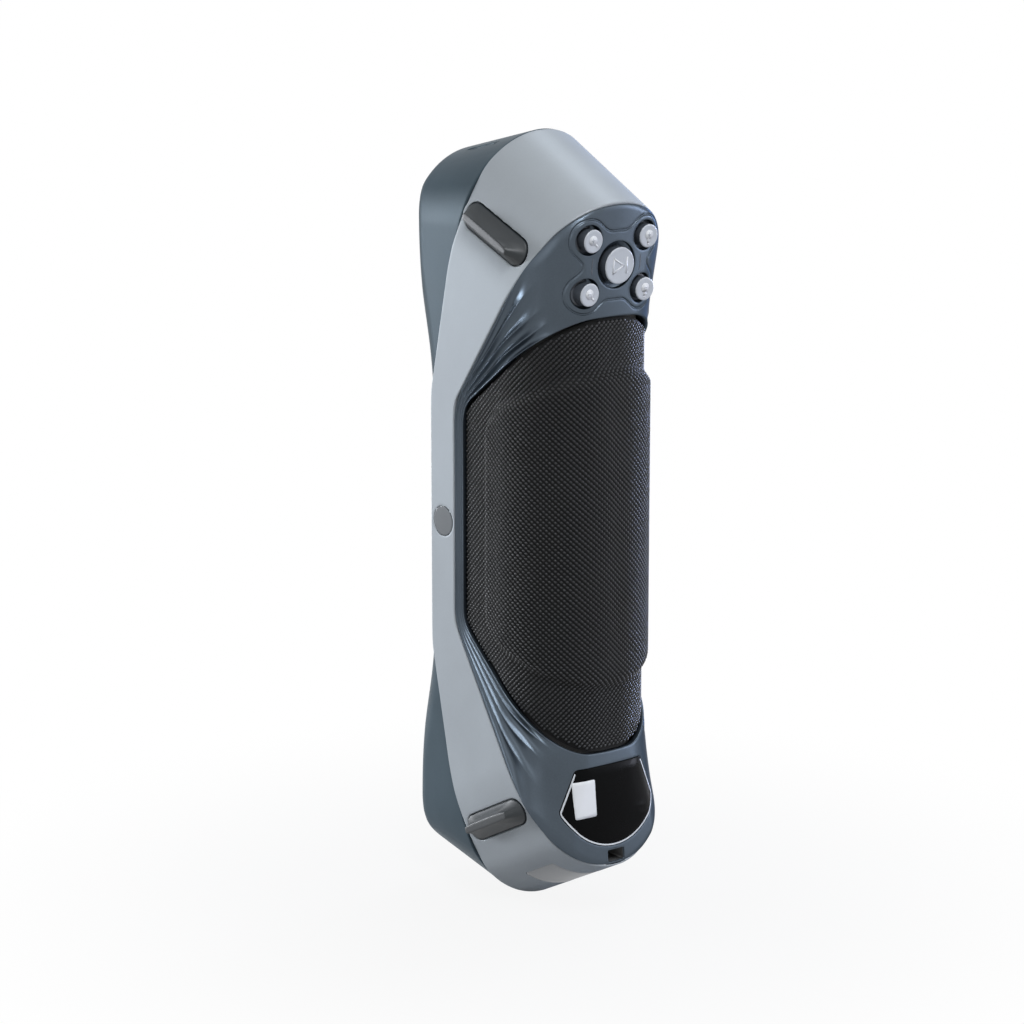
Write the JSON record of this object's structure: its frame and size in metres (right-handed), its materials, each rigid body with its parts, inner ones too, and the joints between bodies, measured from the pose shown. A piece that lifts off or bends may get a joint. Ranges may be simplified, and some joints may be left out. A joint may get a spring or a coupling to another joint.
{
  "type": "handheld three-dimensional scanner",
  "caption": "Upright handheld structured-light scanner with a round-ended silver band, fabric grip, sprung buttons, side pads, cable socket and camera front.",
  "frame": {"origin": "centre of the bounding box", "axes": "+Z along the length, towards the end with the buttons; +Y out of the back with the grip and buttons; -Y out of the front window; +X out of one silver side plate"},
  "size_m": [0.0492, 0.0639, 0.213],
  "materials": {
    "silver_metal": "fine bead-blasted satin, anodised silver",
    "front_plastic": "satin, slightly metallic charcoal",
    "dark_window": "polished dark window",
    "rear_plastic": "satin, slightly metallic slate",
    "grip_fabric": "woven soft-touch weave",
    "label_black": "bare black film",
    "plate_grey": "bare brushed plate",
    "pad_rubber": "matte moulded rubber",
    "cap_rubber": "matte moulded rubber",
    "cast_aluminium": "die-cast",
    "circuit_board": "solder mask",
    "black_plastic": "moulded",
    "black_anodised": "black anodised",
    "lens_glass": "coated lens",
    "light_board": "white solder mask with small lights",
    "brass_body": "turned",
    "chip_black": "moulded epoxy",
    "switch_metal": "stamped cover",
    "button_face": "satin silver paint",
    "gold_contact": "gold plated",
    "ribbon_film": "polyimide film",
    "steel_screw": "black zinc"
  },
  "bodies": {
    "housing": {"side_band": "silver_metal", "front_shell": "front_plastic", "front_glass": "dark_window", "rear_shell": "rear_plastic", "grip_pad": "grip_fabric", "label_plate": "label_black", "end_plate": "plate_grey", "upper_left_pad": "pad_rubber", "upper_right_pad": "pad_rubber", "lower_left_pad": "pad_rubber", "lower_right_pad": "pad_rubber", "left_cap": "cap_rubber", "right_cap": "cap_rubber", "chassis": "cast_aluminium", "upper_camera_board": "circuit_board", "lower_camera_board": "circuit_board", "upper_camera_holder": "black_plastic", "lower_camera_holder": "black_plastic", "upper_camera_barrel": "black_anodised", "lower_camera_barrel": "black_anodised", "upper_camera_lens": "lens_glass", "lower_camera_lens": "lens_glass", "upper_light_ring": "light_board", "lower_light_ring": "light_board", "projector_housing": "cast_aluminium", "projector_barrel": "black_anodised", "projector_lens": "lens_glass", "laser_module": "brass_body", "laser_lens": "lens_glass", "colour_camera_board": "circuit_board", "colour_camera_barrel": "black_anodised", "colour_camera_lens": "lens_glass", "main_board": "circuit_board", "board_chips": "chip_black", "heat_sink": "black_anodised", "button_board": "circuit_board", "button_switches": "switch_metal", "cable_socket": "black_plastic", "socket_tongue": "gold_contact", "socket_board": "circuit_board", "button_ribbon": "ribbon_film", "socket_ribbon": "ribbon_film", "camera_ribbons": "ribbon_film", "pad_screws": "steel_screw", "cap_screws": "steel_screw", "rear_screws": "steel_screw", "front_screws": "steel_screw", "board_screws": "steel_screw", "button_board_screws": "steel_screw", "socket_screws": "steel_screw"},
    "play_button": {"play_button": "button_face", "play_plunger": "black_plastic"},
    "zoom_in_button": {"zoom_in_button": "button_face", "zoom_in_plunger": "black_plastic"},
    "zoom_out_button": {"zoom_out_button": "button_face", "zoom_out_plunger": "black_plastic"},
    "light_up_button": {"light_up_button": "button_face", "light_up_plunger": "black_plastic"},
    "light_down_button": {"light_down_button": "button_face", "light_down_plunger": "black_plastic"}
  },
  "joints": [
    {"name": "play_press", "type": "slide", "parent": "housing", "child": "play_button", "axis": [0, -0.9951, 0.0993], "range_m": [0, 0.0006], "stiffness_N_per_m": 2500},
    {"name": "zoom_in_press", "type": "slide", "parent": "housing", "child": "zoom_in_button", "axis": [0, -0.9951, 0.0993], "range_m": [0, 0.0006], "stiffness_N_per_m": 2500},
    {"name": "zoom_out_press", "type": "slide", "parent": "housing", "child": "zoom_out_button", "axis": [0, -0.9951, 0.0993], "range_m": [0, 0.0006], "stiffness_N_per_m": 2500},
    {"name": "light_up_press", "type": "slide", "parent": "housing", "child": "light_up_button", "axis": [0, -0.9951, 0.0993], "range_m": [0, 0.0006], "stiffness_N_per_m": 2500},
    {"name": "light_down_press", "type": "slide", "parent": "housing", "child": "light_down_button", "axis": [0, -0.9951, 0.0993], "range_m": [0, 0.0006], "stiffness_N_per_m": 2500}
  ]
}
